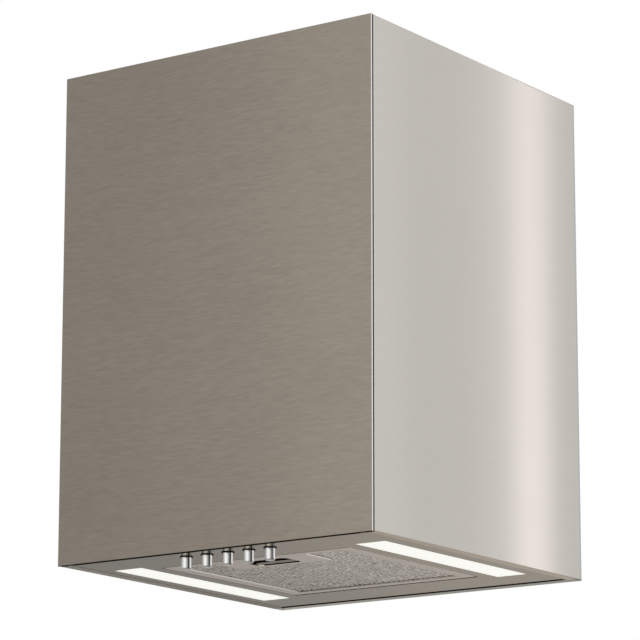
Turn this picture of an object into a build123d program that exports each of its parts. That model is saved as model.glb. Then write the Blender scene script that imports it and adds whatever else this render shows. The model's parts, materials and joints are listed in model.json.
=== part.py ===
from build123d import *
import math
import os

# Chimney range hood: a wall-hung stainless box with a fan above a grease filter.
# All sizes are millimetres. The origin is the centre of the back face, which lies
# on the wall. X runs to the right seen from the front, Y into the wall, Z up.

os.makedirs("parts", exist_ok=True)

# Outer box
width = 300.0
depth = 300.0
height = 400.0

# Sheet metal and general clearances
sheet = 0.8
bend_radius = 1.4
seat_gap = 0.3
shaft_gap = 0.05
overcut = 2.0
hexagon = 6

# Front cover and the foam strip behind it
cover_sheet = 0.8
cover_hem = 0.8
cover_hem_width = 12.0
cover_edge_radius = 0.7
cover_screw_inset = 100.0
foam_thickness = 1.4
foam_inset = 0.4
foam_width = 9.0

# Casing
front_return = 14.0
side_flange = 8.5
back_flange = 11.0
lip_height = 14.0
top_flange = 12.0
wall_hole_radius = 4.0
wall_hole_spacing_x = 220.0
wall_hole_spacing_z = 300.0
top_plate_rim = 15.0
top_screw_inset = 75.0
top_screw_from_edge = 8.0

# Underside plate, measured from the front face of the hood
plate_recess = 0.6
plate_front_gap = 6.2
plate_back_gap = 1.7
plate_rim = 24.0
plate_screw_rise = 8.4
plate_screw_inset = 73.0
collar_height = 14.0

# Lamps
lamp_from_side = 33.8
lamp_width = 27.0
lamp_length = 201.0
lens_lip = 2.0
lens_lip_thickness = 1.6
lamp_housing_wall = 1.0
lamp_housing_height = 12.0
lamp_board_width = 20.0
lamp_board_thickness = 1.2
lamp_chip_count = 10
lamp_chip_length = 4.0
lamp_chip_width = 3.0
lamp_chip_height = 0.8
lamp_ear = 9.0

# Grease filter cassette: the strips of the hood's outline that it leaves free, then its own sizes
filter_side_strip = 60.75
filter_front_strip = 57.05
filter_back_strip = 64.45
filter_height = 9.0
filter_front_gap = 1.3
filter_back_gap = 3.0
filter_side_gap = 0.8
filter_sheet = 1.0
filter_corner = 2.0
filter_rim_side = 11.25
filter_rim_front = 7.0
filter_rim_back = 9.0
mesh_thickness = 0.8
mesh_columns = 10
mesh_rows = 16
mesh_strand = 2.6
guard_columns = 7
guard_rows = 7
guard_strand = 5.0
pad_pleats = 16
pad_thickness = 0.8
pivot_height = 2.5
tongue_offset = 55.0
tongue_width = 20.0
tongue_length = 5.9
tongue_thickness = 0.8
hinge_bead_radius = 0.7

# Filter latch
latch_width = 86.0
latch_length = 35.0
latch_sheet = 0.8
latch_wall_height = 6.0
recess_width = 41.0
recess_length = 24.0
recess_corner = 5.0
recess_from_front = 5.0
latch_travel = 3.0
grip_side_gap = 1.5
grip_back_gap = 1.8
grip_thickness = 1.2
grip_height = 4.6
slider_thickness = 0.8
slider_side_gap = 4.2
latch_spring_radius = 1.65
latch_spring_rise = 3.6
hook_width = 16.0
hook_reach = 3.2
catch_width = 12.0
catch_leaf = 0.5
catch_height = 5.2
catch_reach = 4.7

# Push buttons and their switch block
button_names = ["off", "low", "medium", "high", "light"]
button_pitch = 20.0
button_from_front = 23.0
button_radius = 4.0
button_drop = 10.0
button_tip_radius = 1.6
button_travel = 3.0
button_stop_width = 1.4
button_stop_height = 1.2
stem_radius = 2.0
stem_overlap = 6.0
guide_end = 16.0
guide_width = 16.0
guide_thickness = 2.0
guide_sleeve_wall = 2.0
guide_height = 8.0
guide_collar_wall = 1.1
guide_collar_drop = 0.6
guide_collar_gap = 0.1
spring_length = 9.0
spring_wire = 0.3
spring_wire_sides = 4
spring_gap = 0.45
spring_turns = 3
switch_width = 26.0
switch_height = 22.0
switch_ear = 8.0
switch_leg = 2.0
blade_count = 6
blade_width = 4.8
blade_height = 7.0

# Fan: wheel, scroll housing, motor
fan_front_gap = 2.0
fan_drop = 169.2
scroll_step = 10.0
scroll_wall = 2.5
scroll_half_width = 46.0
scroll_flange = 6.0
throat_width = 71.0
inlet_gap = 2.0
inlet_lip = 8.0
wheel_gap = 11.0
vane_depth = 13.0
wheel_blades = 32
vane_bow = 0.6
vane_sweep = 5.6
vane_thickness = 1.0
wheel_disc = 2.0
wheel_ring_width = 2.5
hub_radius = 12.0
hub_half_length = 9.0
shaft_radius = 4.0
motor_radius = 43.0
motor_start = 14.0
motor_length = 58.0
motor_edge = 6.0
motor_boss = 3.0
bearing_radius = 9.0
bearing_width = 6.0
bracket_ring_wall = 4.0
bracket_ring_width = 12.0
bracket_arm_width = 14.0
bracket_foot = 16.0
bracket_sheet = 2.5
bracket_rib_height = 8.0
bracket_arms = 3
capacitor_radius = 15.0
capacitor_length = 55.0
capacitor_from_inlet = 20.0
capacitor_blade_offset = 7.5
cradle_width = 26.0
cradle_length = 30.0
cradle_depth = 7.0

# Outlet collar with its two flaps
duct_from_wall = 100.0
duct_radius = 59.5
duct_wall = 2.0
duct_height = 48.0
duct_flange_rim = 6.5
duct_flange_thickness = 2.5
duct_flange_corner = 12.0
duct_screw_inset = 8.0
spindle_height = 7.0
spindle_radius = 1.5
spindle_inset = 0.5
ledge_width = 4.0
ledge_thickness = 1.5
flap_thickness = 1.2
flap_edge_gap = 0.8
knuckle_radius = 3.2
knuckle_count = 5
knuckle_gap = 1.0
knuckle_end_gap = 3.5
flap_hinge_gap = 0.6

# Electrics
terminal_from_side = 50.0
terminal_from_top = 100.0
terminal_length = 60.0
terminal_tall = 42.0
terminal_deep = 24.0
terminal_wall = 2.0
gland_from_side = 40.0
gland_from_wall = 42.0
gland_bore = 3.6
gland_radius = 6.0
gland_flange_radius = 9.0
gland_top = 9.0
gland_bottom = 9.0
gland_nut_height = 5.0
driver_x = -40.0
driver_length = 84.0
driver_width = 34.0
driver_height = 20.0
driver_ear = 8.0
driver_ear_width = 17.0

# Screws, and the studs with nuts that hold what lies on the underside plate
stud_radius = 1.5
stud_spare = 1.0
nut_radius = 3.1
nut_height = 2.4
screw_radius = 1.75
screw_hole_gap = 0.1
screw_head_radius = 3.4
screw_head_height = 2.0
screw_reach = 3.0

# Planes worked out from the sizes above
half_width = width / 2
bottom_z = -height / 2
top_z = height / 2
front_y = -depth
cover_thickness = cover_sheet + cover_hem
casing_front_y = front_y + cover_thickness + foam_thickness
opening_half = half_width - side_flange
plate_z = bottom_z + plate_recess
plate_top = plate_z + sheet
plate_half = opening_half - seat_gap
plate_front_y = front_y + plate_front_gap
plate_back_y = -back_flange - plate_back_gap
plate_mid_y = (plate_front_y + plate_back_y) / 2
lamp_offset = half_width - lamp_from_side
filter_front_y = front_y + filter_front_strip
filter_back_y = -filter_back_strip
filter_half = half_width - filter_side_strip
filter_open_front_y = filter_front_y - filter_front_gap
filter_open_back_y = filter_back_y + filter_back_gap
filter_open_half = filter_half + filter_side_gap
window_half = filter_half - filter_rim_side
window_front_y = filter_front_y + filter_rim_front
window_back_y = filter_back_y - filter_rim_back
mesh_z = plate_z + filter_sheet
guard_z = plate_z + filter_height - filter_sheet - mesh_thickness
pivot_z = plate_z + pivot_height
latch_back_y = window_front_y + latch_length
recess_front_y = window_front_y + recess_from_front
recess_back_y = recess_front_y + recess_length
grip_front_y = recess_back_y - grip_back_gap - latch_travel - grip_thickness
grip_width = recess_width - 2 * grip_side_gap
slider_half = latch_width / 2 - latch_sheet - slider_side_gap
button_y = front_y + button_from_front
guide_collar_radius = button_radius + guide_collar_wall
button_hole_radius = guide_collar_radius + guide_collar_gap
button_stop_radius = button_radius + button_stop_width
guide_sleeve_radius = button_radius + guide_sleeve_wall
spring_radius = stem_radius + spring_gap + spring_wire
guide_low = plate_z - guide_collar_drop
guide_top = plate_top + guide_height
stop_z = guide_top + seat_gap
spring_z = stop_z + button_stop_height
switch_z = spring_z + spring_length
switch_half = button_pitch * (len(button_names) - 1) / 2 + guide_end
guide_half = switch_half + switch_ear
top_plate_z = top_z - sheet
duct_y = -duct_from_wall
duct_bore = duct_radius - duct_wall
ledge_radius = duct_bore - ledge_width
duct_flange = 2 * (duct_radius + duct_flange_rim)
duct_screw_offset = duct_flange / 2 - duct_screw_inset
spindle_z = top_plate_z + spindle_height
knuckle_pitch = 2 * (ledge_radius - knuckle_end_gap) / knuckle_count
knuckle_length = knuckle_pitch - knuckle_gap

# The fan: the scroll's four arcs fill the depth between the front and the outlet
scroll_shift = scroll_step / 2
scroll_edge = scroll_wall + scroll_flange
scroll_front_y = casing_front_y + fan_front_gap + scroll_edge
scroll_span = duct_y + throat_width / 2 - scroll_front_y
scroll_radius = (scroll_span - 2 * scroll_shift - 4 * scroll_step) / 2
scroll_outer = scroll_shift + scroll_radius + 3 * scroll_step
tongue_u = scroll_outer - throat_width
fan_axis_y = duct_y + throat_width / 2 - scroll_outer
fan_axis_z = top_plate_z - fan_drop
wheel_radius = scroll_radius - wheel_gap
wheel_half_width = scroll_half_width - inlet_lip - inlet_gap
wheel_inner_radius = wheel_radius - vane_depth
inlet_radius = wheel_inner_radius + inlet_gap
bracket_arm_reach = inlet_radius + bracket_foot
capacitor_y = fan_axis_y - inlet_radius - capacitor_from_inlet

# Electrics
terminal_x = terminal_from_side - half_width
terminal_z = top_z - terminal_from_top
gland_x = gland_from_side - half_width
gland_y = -gland_from_wall
screw_hole_radius = screw_radius + screw_hole_gap


def span_box(x_min, x_max, y_min, y_max, z_min, z_max):
    """A cuboid between two limits along each axis."""
    middle = Pos((x_min + x_max) / 2, (y_min + y_max) / 2, (z_min + z_max) / 2)
    return middle * Box(x_max - x_min, y_max - y_min, z_max - z_min)


def rod(radius, start, end):
    """A round bar between two points."""
    path = Vector(*end) - Vector(*start)
    plane = Plane(origin=start, z_dir=path.normalized())
    return extrude(plane * Circle(radius), path.length)


def ring(outer_radius, inner_radius, start, end):
    """A round tube between two points."""
    path = Vector(*end) - Vector(*start)
    plane = Plane(origin=start, z_dir=path.normalized())
    return extrude(plane * (Circle(outer_radius) - Circle(inner_radius)), path.length)


def folded_tray(x_half, y_min, y_max, z_min, z_max, open_up):
    """A shallow tray bent from sheet, with round folds, open above or below."""
    outer = span_box(-x_half, x_half, y_min, y_max, z_min, z_max)
    floor_index = 0 if open_up else -1
    folds = outer.edges().filter_by(Axis.Z)
    folds += outer.faces().sort_by(Axis.Z)[floor_index].edges()
    outer = fillet(folds, bend_radius)
    z_low = z_min + sheet if open_up else z_min - overcut
    z_high = z_max + overcut if open_up else z_max - sheet
    inner = span_box(-x_half + sheet, x_half - sheet, y_min + sheet, y_max - sheet, z_low, z_high)
    folds = inner.edges().filter_by(Axis.Z)
    folds += inner.faces().sort_by(Axis.Z)[floor_index].edges()
    return outer - fillet(folds, bend_radius - sheet)


def pan_screw(seat, direction, reach):
    """A screw whose head sits on the point seat and whose shank runs along direction."""
    plane = Plane(origin=seat, z_dir=direction)
    head = Pos(0, 0, -screw_head_height / 2) * Cylinder(screw_head_radius, screw_head_height)
    shank = Pos(0, 0, reach / 2) * Cylinder(screw_radius, reach)
    return plane * (head + shank)


def screw_cut(seat, direction, reach):
    """The clearance hole for a screw's shank, cut through what it fastens."""
    start = Vector(*seat) - Vector(*direction) * overcut
    end = Vector(*seat) + Vector(*direction) * (reach + screw_hole_gap)
    return rod(screw_hole_radius, tuple(start), tuple(end))


def helix_spring(mean_radius, wire_radius, length, turns):
    """A coil spring that stands on the XY plane, its wire inside the length."""
    rise = length - 2 * wire_radius
    path = Helix(rise / turns, rise, mean_radius)
    section = Plane(origin=path @ 0, z_dir=path % 0) * RegularPolygon(wire_radius, spring_wire_sides)
    return Pos(0, 0, wire_radius) * sweep(section, path, is_frenet=True)


def panel_screw_seats():
    """Places where the cover is held from inside the casing's front returns."""
    seats = []
    for side in (-1, 1):
        for z in (bottom_z + cover_screw_inset, top_z - cover_screw_inset):
            seats.append((side * (half_width - foam_inset - foam_width / 2), casing_front_y + sheet, z))
    return seats


def plate_screw_seats():
    """Places where the underside plate's rim is screwed to the casing's lips."""
    seats = []
    for side in (-1, 1):
        for y in (plate_front_y + plate_screw_inset, plate_back_y - plate_screw_inset):
            seats.append((side * (plate_half - sheet), y, bottom_z + plate_screw_rise))
    return seats


def top_screw_seats():
    """Places where the top plate is screwed up against the casing's top flange."""
    seats = []
    for side in (-1, 1):
        for y in (front_y + top_screw_inset, -top_screw_inset):
            seats.append((side * (half_width - top_screw_from_edge), y, top_z))
        seats.append((side * (half_width - top_screw_inset), casing_front_y + top_screw_from_edge, top_z))
        seats.append((side * (half_width - top_screw_inset), -top_screw_from_edge, top_z))
    return seats


def collar_screw_seats():
    """Places of the screws that hold the outlet collar and the fan to the top plate."""
    z = top_plate_z + duct_flange_thickness
    offset = duct_screw_offset
    return [(sx * offset, duct_y + sy * offset, z) for sx in (-1, 1) for sy in (-1, 1)]


def switch_stud_seats():
    """Nut seats on the studs through the switch block's feet."""
    x = switch_half + switch_ear / 2
    return [(side * x, button_y, plate_top + 2 * guide_thickness) for side in (-1, 1)]


def driver_stud_seats():
    """Nut seats on the studs through the lamp driver's ears."""
    reach = driver_length / 2 + driver_ear / 2
    y = (filter_open_back_y + plate_back_y) / 2
    return [(driver_x + side * reach, y, plate_top + guide_thickness) for side in (-1, 1)]


def lamp_stud_seats():
    """Nut seats on the studs through the ears at the ends of the lamp housings."""
    seats = []
    for side in (-1, 1):
        for end in (-1, 1):
            y = plate_mid_y + end * (lamp_length / 2 + lens_lip + lamp_housing_wall + seat_gap + lamp_ear / 2)
            seats.append((side * lamp_offset, y, plate_top + lamp_housing_wall))
    return seats


def stud_seats():
    """Every nut seat above the underside plate."""
    return switch_stud_seats() + driver_stud_seats() + lamp_stud_seats()


def stud_cut(seat):
    """The clearance hole for a stud, through what lies between plate and nut."""
    x, y, z = seat
    return rod(stud_radius + screw_hole_gap, (x, y, plate_top - overcut), (x, y, z + overcut))


def make_front_panel():
    """The front cover: one sheet with a flat hem folded behind all four edges."""
    panel = span_box(-half_width, half_width, front_y, front_y + cover_thickness, bottom_z, top_z)
    panel = fillet(panel.faces().sort_by(Axis.Y)[0].edges(), cover_edge_radius)
    inner = half_width - cover_hem_width
    panel -= span_box(
        -inner, inner,
        front_y + cover_sheet, front_y + cover_thickness + overcut,
        bottom_z + cover_hem_width, top_z - cover_hem_width,
    )
    for seat in panel_screw_seats():
        reach = casing_front_y + sheet - front_y - cover_sheet
        panel -= screw_cut(seat, (0, -1, 0), reach - screw_hole_gap)
    return panel


def make_front_foam():
    """The dark foam between cover and casing, thicker below, where it fills the gap to the plate."""
    back_y = front_y + cover_thickness
    outer = half_width - foam_inset
    inner = outer - foam_width
    low = bottom_z + foam_inset
    high = top_z - foam_inset
    strip = span_box(-outer, outer, back_y, casing_front_y, low, high)
    strip -= span_box(
        -inner, inner,
        back_y - overcut, casing_front_y + overcut,
        low + foam_width, high - foam_width,
    )
    between = half_width - front_return - seat_gap
    strip += span_box(-between, between, back_y, plate_front_y - seat_gap, low, low + foam_width)
    for seat in panel_screw_seats():
        strip -= screw_cut(seat, (0, -1, 0), sheet + foam_thickness + overcut)
    return strip


def make_casing_shell():
    """Sides, back and folded edges of the casing, hollow and open in front and below."""
    outer = span_box(-half_width, half_width, casing_front_y, 0, bottom_z, top_z)
    folds = outer.edges().filter_by(Axis.Z)
    folds += outer.faces().sort_by(Axis.Z)[0].edges().filter_by(Axis.Y)
    folds += outer.faces().sort_by(Axis.Z)[-1].edges().filter_by(Axis.Y)
    outer = fillet(folds, bend_radius)
    inner = span_box(
        -half_width + sheet, half_width - sheet,
        casing_front_y + sheet, -sheet,
        bottom_z + sheet, top_z - sheet,
    )
    shell = outer - fillet(inner.edges().filter_by(Axis.Z), bend_radius - sheet)
    return_half = half_width - front_return
    shell -= span_box(
        -return_half, return_half,
        casing_front_y - overcut, casing_front_y + sheet + overcut,
        bottom_z - overcut, top_z - front_return,
    )
    shell -= span_box(
        -opening_half, opening_half,
        casing_front_y - overcut, -back_flange,
        bottom_z - overcut, bottom_z + sheet + overcut,
    )
    top_half = half_width - top_flange
    shell -= span_box(
        -top_half, top_half,
        casing_front_y + top_flange, -top_flange,
        top_z - sheet - overcut, top_z + overcut,
    )
    lip_outer = span_box(
        -opening_half - sheet, opening_half + sheet,
        casing_front_y + sheet, -back_flange + sheet,
        bottom_z + sheet / 2, bottom_z + lip_height,
    )
    lip_inner = span_box(
        -opening_half, opening_half,
        casing_front_y - overcut, -back_flange,
        bottom_z - overcut, bottom_z + lip_height + overcut,
    )
    shell += lip_outer - lip_inner
    for sx in (-1, 1):
        for sz in (-1, 1):
            x = sx * wall_hole_spacing_x / 2
            z = sz * wall_hole_spacing_z / 2
            shell -= rod(wall_hole_radius, (x, -sheet - overcut, z), (x, overcut, z))
    for seat in panel_screw_seats():
        shell -= screw_cut(seat, (0, -1, 0), sheet + overcut)
    for seat in plate_screw_seats():
        direction = (math.copysign(1, seat[0]), 0, 0)
        shell -= screw_cut(seat, direction, 2 * sheet + overcut)
    for seat in top_screw_seats():
        shell -= screw_cut(seat, (0, 0, -1), sheet + overcut)
    return shell


def make_top_plate():
    """The lid under the casing's top flange, with the outlet and cable holes."""
    x_half = half_width - sheet - seat_gap
    y_min = casing_front_y + sheet + seat_gap
    y_max = -sheet - seat_gap
    plate = folded_tray(x_half, y_min, y_max, top_plate_z - top_plate_rim, top_plate_z, False)
    low = top_plate_z - sheet - overcut
    high = top_plate_z + overcut
    plate -= rod(duct_bore, (0, duct_y, low), (0, duct_y, high))
    plate -= rod(gland_radius + screw_hole_gap, (gland_x, gland_y, low), (gland_x, gland_y, high))
    for seat in top_screw_seats():
        plate -= screw_cut(seat, (0, 0, -1), 2 * sheet + overcut)
    for seat in collar_screw_seats():
        plate -= screw_cut(seat, (0, 0, -1), duct_flange_thickness + sheet + overcut)
    return plate


def make_bottom_plate():
    """The inset underside plate: folded rim, collar for the filter, lamp and button holes."""
    plate = folded_tray(plate_half, plate_front_y, plate_back_y, plate_z, plate_z + plate_rim, True)
    plate += span_box(
        -filter_open_half - sheet, filter_open_half + sheet,
        filter_open_front_y - sheet, filter_open_back_y + sheet,
        plate_z + sheet / 2, plate_z + collar_height,
    )
    plate -= span_box(
        -filter_open_half, filter_open_half,
        filter_open_front_y, filter_open_back_y,
        plate_z - overcut, plate_z + collar_height + overcut,
    )
    for side in (-1, 1):
        plate -= span_box(
            side * lamp_offset - lamp_width / 2, side * lamp_offset + lamp_width / 2,
            plate_mid_y - lamp_length / 2, plate_mid_y + lamp_length / 2,
            plate_z - overcut, plate_top + overcut,
        )
        tongue_slot = tongue_width / 2 + seat_gap
        plate -= span_box(
            side * tongue_offset - tongue_slot, side * tongue_offset + tongue_slot,
            filter_open_back_y - overcut, filter_open_back_y + sheet + overcut,
            pivot_z - tongue_thickness / 2 - seat_gap, pivot_z + tongue_length + tongue_thickness,
        )
    plate -= span_box(
        -catch_width / 2 - seat_gap, catch_width / 2 + seat_gap,
        filter_open_front_y - sheet - overcut, filter_open_front_y + overcut,
        plate_z + catch_height - sheet, plate_z + catch_height + catch_leaf + sheet,
    )
    for x in button_places():
        plate -= rod(button_hole_radius, (x, button_y, plate_z - overcut), (x, button_y, plate_top + overcut))
    for seat in plate_screw_seats():
        direction = (math.copysign(1, seat[0]), 0, 0)
        plate -= screw_cut(seat, direction, sheet + overcut)
    for x, y, z in stud_seats():
        plate += rod(stud_radius, (x, y, plate_top - sheet / 2), (x, y, z + nut_height + stud_spare))
    return plate


def button_places():
    """The X of each push button, left to right."""
    first = -button_pitch * (len(button_names) - 1) / 2
    return [first + i * button_pitch for i in range(len(button_names))]


def make_lamp_lens(side):
    """A long frosted window, flush with the plate, with a lip that lies on top of it."""
    lens = span_box(
        side * lamp_offset - lamp_width / 2 + seat_gap, side * lamp_offset + lamp_width / 2 - seat_gap,
        plate_mid_y - lamp_length / 2 + seat_gap, plate_mid_y + lamp_length / 2 - seat_gap,
        plate_z, plate_top + lens_lip_thickness,
    )
    lens += span_box(
        side * lamp_offset - lamp_width / 2 - lens_lip, side * lamp_offset + lamp_width / 2 + lens_lip,
        plate_mid_y - lamp_length / 2 - lens_lip, plate_mid_y + lamp_length / 2 + lens_lip,
        plate_top, plate_top + lens_lip_thickness,
    )
    return lens


def make_lamp_housing(side):
    """The channel over a lamp, closed at its ends, with an ear for a screw at each end."""
    inner_x = lamp_width / 2 + lens_lip + seat_gap
    inner_y = lamp_length / 2 + lens_lip + seat_gap
    outer_x = inner_x + lamp_housing_wall
    outer_y = inner_y + lamp_housing_wall
    x = side * lamp_offset
    top = plate_top + lamp_housing_height
    housing = span_box(x - outer_x, x + outer_x, plate_mid_y - outer_y, plate_mid_y + outer_y, plate_top, top)
    long_edges = housing.faces().sort_by(Axis.Z)[-1].edges()
    housing = fillet(long_edges, lamp_housing_wall)
    ear_y = outer_y + lamp_ear
    ear_half = screw_head_radius + lamp_housing_wall
    housing += span_box(
        x - ear_half, x + ear_half,
        plate_mid_y - ear_y, plate_mid_y + ear_y,
        plate_top, plate_top + lamp_housing_wall,
    )
    housing -= span_box(
        x - inner_x, x + inner_x,
        plate_mid_y - inner_y, plate_mid_y + inner_y,
        plate_top - overcut, top - lamp_housing_wall,
    )
    for seat in lamp_stud_seats():
        if seat[0] * side > 0:
            housing -= stud_cut(seat)
    return housing


def make_lamp_board(side):
    """A lamp's circuit board with its row of chips facing down."""
    x = side * lamp_offset
    top = plate_top + lamp_housing_height - lamp_housing_wall
    under = top - lamp_board_thickness
    board = span_box(
        x - lamp_board_width / 2, x + lamp_board_width / 2,
        plate_mid_y - lamp_length / 2, plate_mid_y + lamp_length / 2,
        under, top,
    )
    pitch = lamp_length / lamp_chip_count
    for index in range(lamp_chip_count):
        y = plate_mid_y + (index - (lamp_chip_count - 1) / 2) * pitch
        board += span_box(
            x - lamp_chip_width / 2, x + lamp_chip_width / 2,
            y - lamp_chip_length / 2, y + lamp_chip_length / 2,
            under - lamp_chip_height, under,
        )
    return board


def make_button(x):
    """A turned button: domed tip, straight barrel, stop shoulder and thin stem."""
    low = plate_z - button_drop
    tip = low + button_tip_radius
    stem_top = switch_z + stem_overlap
    with BuildPart() as button:
        with BuildSketch(Plane.XZ):
            with BuildLine():
                Line((0, low), (button_radius - button_tip_radius, low))
                RadiusArc(
                    (button_radius - button_tip_radius, low), (button_radius, tip), -button_tip_radius
                )
                Polyline(
                    (button_radius, tip),
                    (button_radius, stop_z),
                    (button_stop_radius, stop_z),
                    (button_stop_radius, spring_z),
                    (stem_radius, spring_z),
                    (stem_radius, stem_top),
                    (0, stem_top),
                    (0, low),
                )
            make_face()
        revolve(axis=Axis.Z)
    return Pos(x, button_y, 0) * button.part


def make_button_guide():
    """The dark rail on the underside plate: a sleeve and, through the plate, a collar for each button."""
    guide = span_box(
        -guide_half, guide_half,
        button_y - guide_width / 2, button_y + guide_width / 2,
        plate_top, plate_top + guide_thickness,
    )
    guide = fillet(guide.edges().filter_by(Axis.Z), guide_thickness)
    for x in button_places():
        guide += rod(guide_sleeve_radius, (x, button_y, plate_top), (x, button_y, guide_top))
        guide += rod(guide_collar_radius, (x, button_y, guide_low), (x, button_y, guide_top))
    for x in button_places():
        guide -= rod(
            button_radius + shaft_gap, (x, button_y, guide_low - overcut), (x, button_y, guide_top + overcut)
        )
    for seat in switch_stud_seats():
        guide -= stud_cut(seat)
    return guide


def make_button_spring(x):
    """The return spring round a button's stem."""
    spring = helix_spring(spring_radius, spring_wire, spring_length - seat_gap, spring_turns)
    return Pos(x, button_y, spring_z + seat_gap / 2) * spring


def make_switch_body():
    """The moulded switch block: bores for the stems, legs with feet and contact blades."""
    y_min = button_y - switch_width / 2
    y_max = button_y + switch_width / 2
    top = switch_z + switch_height
    body = span_box(-switch_half, switch_half, y_min, y_max, switch_z, top)
    body = chamfer(body.faces().sort_by(Axis.Z)[-1].edges(), sheet)
    foot = plate_top + guide_thickness
    leg_half = guide_width / 2 - guide_thickness
    for side in (-1, 1):
        outer = side * switch_half
        inner = side * (switch_half - switch_leg)
        body += span_box(
            min(outer, inner), max(outer, inner),
            button_y - leg_half, button_y + leg_half,
            foot, switch_z + sheet,
        )
        toe = side * guide_half
        body += span_box(
            min(inner, toe), max(inner, toe),
            button_y - leg_half, button_y + leg_half,
            foot, foot + guide_thickness,
        )
    for x, y, z in switch_stud_seats():
        body -= rod(stud_radius + screw_hole_gap, (x, y, foot - overcut), (x, y, z + overcut))
    for x in button_places():
        body -= rod(
            stem_radius + shaft_gap,
            (x, button_y, switch_z - overcut),
            (x, button_y, switch_z + stem_overlap + button_travel + overcut),
        )
    pitch = 2 * switch_half / blade_count
    for index in range(blade_count):
        x = (index - (blade_count - 1) / 2) * pitch
        body += span_box(
            x - blade_width / 2, x + blade_width / 2,
            button_y - sheet / 2, button_y + sheet / 2,
            top - sheet, top + blade_height,
        )
    return body


def latch_zone(margin):
    """The space above the latch plate that mesh and pad leave free."""
    return span_box(
        -latch_width / 2 - margin, latch_width / 2 + margin,
        filter_front_y - overcut, latch_back_y + margin,
        plate_z + filter_sheet / 2, plate_z + filter_height - filter_sheet,
    )


def make_filter_frame():
    """The folded frame of the filter cassette, with its two hinge tongues."""
    frame = span_box(
        -filter_half, filter_half, filter_front_y, filter_back_y, plate_z, plate_z + filter_height
    )
    frame = fillet(frame.edges().filter_by(Axis.Z), filter_corner)
    wall = filter_sheet
    frame -= span_box(
        -filter_half + wall, filter_half - wall,
        filter_front_y + wall, filter_back_y - wall,
        plate_z + wall, plate_z + filter_height - wall,
    )
    frame -= span_box(
        -window_half, window_half, window_front_y, window_back_y,
        plate_z - overcut, plate_z + filter_height + overcut,
    )
    frame -= span_box(
        -hook_width / 2 - seat_gap, hook_width / 2 + seat_gap,
        filter_front_y - overcut, window_front_y + overcut,
        plate_z + catch_height - sheet, plate_z + filter_height + overcut,
    )
    for side in (-1, 1):
        left = side * tongue_offset - tongue_width / 2
        right = side * tongue_offset + tongue_width / 2
        frame += span_box(
            left, right,
            filter_back_y - wall / 2, filter_back_y + tongue_length,
            pivot_z - tongue_thickness / 2, pivot_z + tongue_thickness / 2,
        )
        frame += rod(hinge_bead_radius, (left, filter_back_y, pivot_z), (right, filter_back_y, pivot_z))
    return frame


def diamond_net(columns, rows, strand, z, thickness):
    """A sheet with staggered diamond holes, as cut and stretched from one plate."""
    margin = filter_sheet + seat_gap
    net = span_box(
        -filter_half + margin, filter_half - margin,
        filter_front_y + margin, filter_back_y - margin,
        z, z + thickness,
    )
    pitch_x = 2 * window_half / columns
    pitch_y = (window_back_y - window_front_y) / rows
    half_x = (pitch_x - strand) / 2
    half_y = pitch_y - strand / 2
    latch_half = latch_width / 2 + half_x
    holes = Sketch()
    for row in range(1, rows):
        y = window_front_y + row * pitch_y
        shift = 0.5 if row % 2 else 0.0
        count = columns if row % 2 else columns - 1
        for column in range(count):
            x = -window_half + (column + 1.0 - shift) * pitch_x
            near_latch = abs(x) < latch_half and y < latch_back_y + half_y
            if not near_latch:
                corners = [(x - half_x, y), (x, y - half_y), (x + half_x, y), (x, y + half_y)]
                holes += Polygon(*corners, align=None)
    cutter = extrude(Plane(origin=(0, 0, z - overcut)) * holes, thickness + 2 * overcut)
    return net - cutter


def make_filter_mesh():
    """The expanded mesh that shows from below, cut away round the latch."""
    mesh = diamond_net(mesh_columns, mesh_rows, mesh_strand, mesh_z, mesh_thickness)
    return mesh - latch_zone(seat_gap)


def make_filter_guard():
    """The coarser mesh on the fan's side of the cassette."""
    guard = diamond_net(guard_columns, guard_rows, guard_strand, guard_z, mesh_thickness)
    return guard - span_box(
        -hook_width / 2 - seat_gap, hook_width / 2 + seat_gap,
        filter_front_y, window_front_y + hook_reach,
        guard_z - overcut, guard_z + overcut,
    )


def make_filter_pad():
    """The pleated grease pad between the two meshes."""
    margin = filter_sheet + seat_gap
    start = filter_front_y + margin
    end = filter_back_y - margin
    low = mesh_z + mesh_thickness + seat_gap
    high = guard_z - seat_gap
    pitch = (end - start) / pad_pleats
    lower = []
    upper = []
    for index in range(2 * pad_pleats + 1):
        y = start + index * pitch / 2
        z = low if index % 2 else high - pad_thickness
        lower.append((y, z))
        upper.append((y, z + pad_thickness))
    outline = Polyline(*lower, *reversed(upper), lower[0])
    x_half = filter_half - margin
    section = Plane.YZ.offset(-x_half) * make_face(outline)
    return extrude(section, 2 * x_half) - latch_zone(seat_gap)


def make_latch_plate():
    """The smooth plate round the finger recess, folded up on three sides."""
    half = latch_width / 2
    low = plate_z
    plate = span_box(-half, half, window_front_y + seat_gap, latch_back_y, low, low + latch_sheet)
    wall_top = low + latch_wall_height
    for x in (-half, half - latch_sheet):
        plate += span_box(x, x + latch_sheet, window_front_y + seat_gap, latch_back_y, low, wall_top)
    plate += span_box(-half, half, latch_back_y - latch_sheet, latch_back_y, low, wall_top)
    recess = Pos(0, (recess_front_y + recess_back_y) / 2) * RectangleRounded(
        recess_width, recess_length, recess_corner
    )
    return plate - extrude(Plane(origin=(0, 0, low - overcut)) * recess, latch_sheet + 2 * overcut)


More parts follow.
